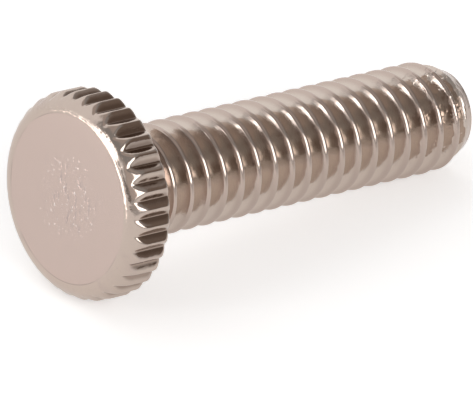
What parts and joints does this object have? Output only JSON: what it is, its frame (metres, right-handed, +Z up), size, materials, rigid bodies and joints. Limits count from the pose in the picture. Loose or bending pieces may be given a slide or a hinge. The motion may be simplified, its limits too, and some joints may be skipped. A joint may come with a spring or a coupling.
{
  "type": "knurled thumb screw",
  "caption": "Thumb screw with a low round head, straight knurled rim and a fully threaded shank with a bevelled tip.",
  "frame": {"origin": "middle of the object's box, on the surface that the screw lies on", "axes": "+X towards the threaded tip, +Z up, the screw's own axis in the XZ plane and falling 6.64 degrees towards the tip"},
  "size_m": [0.0184, 0.0076, 0.0076],
  "materials": {
    "nickel_plate": "bright nickel plate, satin on the face, with faint handling marks"
  },
  "bodies": {
    "root": {"thumb_screw": "nickel_plate"}
  },
  "joints": []
}
